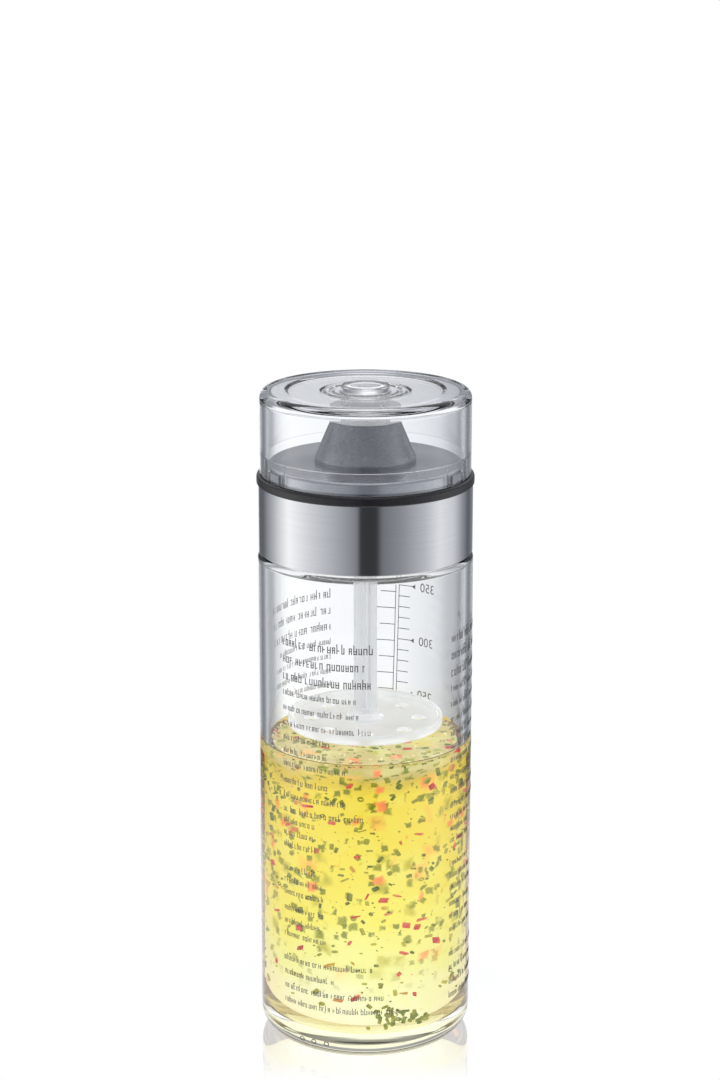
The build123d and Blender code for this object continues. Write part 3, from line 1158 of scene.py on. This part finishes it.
def foot_rings():
    """Three small printed rings on the round of the foot, leaning with it."""
    bm = bmesh.new()
    rise = foot_ring_height - jar_foot_round
    out = math.sqrt(jar_foot_round**2 - rise**2)
    middle = Vector((0, -(jar_radius - jar_foot_round + out + print_lift), foot_ring_height))
    lean = Matrix.Rotation(math.pi / 2 + math.atan2(-rise, out), 4, "X")
    for angle in foot_ring_angles:
        turn = Matrix.Rotation(math.radians(angle), 4, "Z")
        edges = []
        for radius in (foot_ring_radius, foot_ring_radius - foot_ring_line):
            matrix = turn @ Matrix.Translation(middle) @ lean
            circle = bmesh.ops.create_circle(bm, segments=24, radius=radius, matrix=matrix)
            edges += {edge for vert in circle["verts"] for edge in vert.link_edges}
        bmesh.ops.bridge_loops(bm, edges=edges)
    bmesh.ops.solidify(bm, geom=bm.faces[:], thickness=print_thickness)
    bmesh.ops.recalc_face_normals(bm, faces=bm.faces)
    finished("foot_rings", bm, print_finish(), "jar")


# CAD pieces that keep their own shape


def dress(node, material):
    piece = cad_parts[node]
    piece.data.materials.clear()
    piece.data.materials.append(material)


# Studio


mirror_reach = 0.062
mirror_fade = 0.022
mirror_front = -0.043
mirror_front_fade = 0.012
mirror_strength = 0.42
paper_radius = 0.26
paper_depth = 0.0004
paper_edge_fade = paper_radius / 2.2
light_pool_fade = 0.008


def stage_sheet(name, bm, material):
    sheet = linked(name, bm)
    sheet.data.materials.append(material)
    sheet.visible_shadow = False
    return sheet


def table():
    """A polished clear surface that shows only a faint mirror image, fading towards the front."""
    bm = bmesh.new()
    bmesh.ops.create_grid(bm, x_segments=1, y_segments=1, size=2)
    finish = Finish("polished_table", (1, 1, 1), Metallic=1.0)
    near = finish.from_axis().past(mirror_reach, -1 / mirror_fade)
    behind = finish.split(finish.place())[1].past(mirror_front, 1 / mirror_front_fade)
    finish.set("Alpha", near * behind * mirror_strength)
    finish.set("Roughness", finish.noise(30.0, 2.0) * 0.04 + 0.04)
    sheet = stage_sheet("table", bm, finish.material)
    sheet.visible_diffuse = False
    sheet.visible_transmission = False


def lit_paper():
    """A round white sheet under the clear table, lit from below and fading out at its edge. Under the jar
    its light is tinted yellow, a painted pool of the dressing's coloured light.
    """
    bm = bmesh.new()
    bmesh.ops.create_circle(
        bm, cap_ends=True, segments=64, radius=paper_radius, matrix=Matrix.Translation((0, 0, -paper_depth))
    )
    finish = Finish("lit_paper", (0.0, 0.0, 0.0), Emission_Strength=1.0)
    distance = finish.from_axis()
    white = finish.mix(finish.noise(20.0) * 0.03, (1.0, 1.0, 1.0), (0.9, 0.9, 0.92))
    # Painted light: a yellow pool of the dressing's light on the sheet under the jar.
    dressing_light_pool = distance.past(jar_radius, -1 / light_pool_fade)
    finish.set("Emission Color", finish.mix(dressing_light_pool, white, (0.96, 0.9, 0.62)))
    finish.set("Alpha", distance.past(paper_radius, -1 / paper_edge_fade))
    sheet = stage_sheet("lit_paper", bm, finish.material)
    sheet.visible_camera = False


backdrop_brightness = 0.78
room_strength = 1.35
fill_strength = 2.3
ceiling_brightness = 0.3
lamp_brightness = 0.8

# Brightness of the studio round the bottle, by the turn from the front in degrees, left negative:
# low down as the steel mirrors it, low down as it shows through the glass, and high up
lower_walls = [
    (-180, backdrop_brightness),
    (-164, backdrop_brightness),
    (-160, 0.1),
    (-140, 0.12),
    (-116, 0.45),
    (-90, 1.0),
    (-60, 0.66),
    (-30, 0.4),
    (-9, 0.22),
    (-5.5, 0.03),
    (12, 0.03),
    (18, 0.17),
    (40, 0.28),
    (66, 0.5),
    (86, 0.78),
    (108, 0.62),
    (125, 0.3),
    (142, 0.1),
    (155, 0.16),
    (166, 0.24),
    (172, 0.4),
    (175.5, 0.6),
    (178.5, backdrop_brightness),
    (180, backdrop_brightness),
]
through_walls = [
    (-180, backdrop_brightness),
    (-172, backdrop_brightness),
    (-166, 0.35),
    (-155, 0.12),
    (-147, 0.25),
    (-138, 0.55),
    (-126, 0.4),
    (-112, 0.35),
    (-90, 0.95),
    (-60, 0.6),
    (-20, 0.42),
    (-5, 0.26),
    (12, 0.26),
    (20, 0.42),
    (60, 0.6),
    (90, 0.8),
    (110, 0.4),
    (126, 0.3),
    (138, 0.6),
    (146, 0.3),
    (154, 0.16),
    (163, 0.22),
    (168, 0.3),
    (172, 0.4),
    (175.5, 0.6),
    (178.5, backdrop_brightness),
    (180, backdrop_brightness),
]
upper_walls = [
    (-180, 0.26),
    (-150, 0.22),
    (-118, 0.3),
    (-98, 0.5),
    (-74, 0.5),
    (-50, 0.3),
    (-14, 0.16),
    (-4, 0.05),
    (6, 0.05),
    (14, 0.16),
    (50, 0.3),
    (74, 0.5),
    (98, 0.5),
    (118, 0.3),
    (150, 0.22),
    (180, 0.26),
]


def cool_grey(light):
    """A grey that turns a little blue between black and white."""
    blue = 0.12 * light * max(0.0, 1 - light)
    return (light - blue / 2, light, light + blue)


def ring_of_walls(nodes, turn, walls):
    """The walls' brightness by the turn about the bottle: 0 and 1 are behind it, 0.5 is the front."""
    return nodes.ramp(turn, *[(0.5 + degrees / 360, cool_grey(light)) for degrees, light in walls])


def surroundings():
    """White where the camera looks past the bottle, and the lit and dark walls of the studio elsewhere."""
    world = bpy.data.worlds.new("studio")
    bpy.context.scene.world = world
    world.use_nodes = True
    nodes = Nodes(world.node_tree)
    nodes.tree.nodes.clear()
    x, y, z = nodes.split(nodes.node("ShaderNodeTexCoord", output="Generated"))
    turn = x.math("ARCTAN2", x, y * -1) / math.tau + 0.5
    lower = ring_of_walls(nodes, turn, lower_walls)
    through = ring_of_walls(nodes, turn, through_walls)
    seen_through = nodes.node("ShaderNodeLightPath", output="Is Transmission Ray")
    room = nodes.mix(seen_through, lower, through)
    room = nodes.mix(z.past(0.04, 12), room, ring_of_walls(nodes, turn, upper_walls))
    ceiling = nodes.mix((y - 0.25) * 4, cool_grey(ceiling_brightness), cool_grey(backdrop_brightness))
    room = nodes.mix(z.past(0.32, 10), room, ceiling)
    room = nodes.mix(z.past(0.8, 8), room, cool_grey(lamp_brightness))
    room = nodes.mix(z.past(-0.7, -5), room, cool_grey(backdrop_brightness))
    fill = nodes.node("ShaderNodeLightPath", output="Diffuse Depth") > 0.5
    strength = fill * (fill_strength - room_strength) + room_strength
    lit = nodes.node("ShaderNodeBackground", inputs={"Color": room, "Strength": strength})
    white = nodes.node("ShaderNodeBackground", inputs={"Color": (1, 1, 1, 1)})
    seen = nodes.node("ShaderNodeLightPath", output="Is Camera Ray")
    mixed = nodes.node("ShaderNodeMixShader", inputs={0: seen, 1: lit, 2: white})
    nodes.node("ShaderNodeOutputWorld", inputs={0: mixed})


camera_place = (-0.00163, -0.7733, 0.3606)
camera_pitch = 14.802
focal_pixels = 2652.5
frame_height_pixels = 1080
sensor_height = 36.0


def camera():
    lens = bpy.data.cameras.new("camera")
    lens.sensor_width = sensor_height
    lens.lens = focal_pixels / frame_height_pixels * sensor_height
    lens.clip_start = 0.01
    lens.clip_end = 20
    eye = bpy.data.objects.new("camera", lens)
    eye.location = camera_place
    eye.rotation_euler = (math.radians(90 - camera_pitch), 0, 0)
    bpy.context.scene.collection.objects.link(eye)
    bpy.context.scene.camera = eye


def light_paths():
    cycles = bpy.context.scene.cycles
    cycles.max_bounces = 32
    cycles.transmission_bounces = 32
    cycles.transparent_max_bounces = 32
    cycles.glossy_bounces = 8
    cycles.diffuse_bounces = 4
    cycles.use_denoising = True
    cycles.sample_clamp_indirect = 8
    cycles.blur_glossy = 0.6
    bpy.context.scene.view_settings.view_transform = "Standard"


jar()
neck_thread()
collar()
cap_ring()
plate()
cone()
disc()
cap()
dressing()
chives()
pepper_bits()
herb_specks()
spice_specks()
surface_beads()
recipe_columns()
measuring_scale()
foot_rings()
dress("mixing_rod", frosted_finish("frosted_rod", 0.5, 0.14, 0.26))
dress("disc_pin", frosted_finish("frosted_pin", 0.5, 0.3, 0.12))
dress("pour_insert", frosted_finish("frosted_liner", 0.4, 0.3, 0.1))
dress("spout_plug", frosted_finish("plug_silicone", 0.3, 0.35, 0.12))
dress("jar_gasket", frosted_finish("gasket_silicone", 0.4, 0.35))
dress("insert_gasket", frosted_finish("inner_gasket_silicone", 0.4, 0.35))
dress("closure_body", frosted_finish("closure_plastic", 0.15, 0.3, 0.05))
surroundings()
table()
lit_paper()
camera()
light_paths()
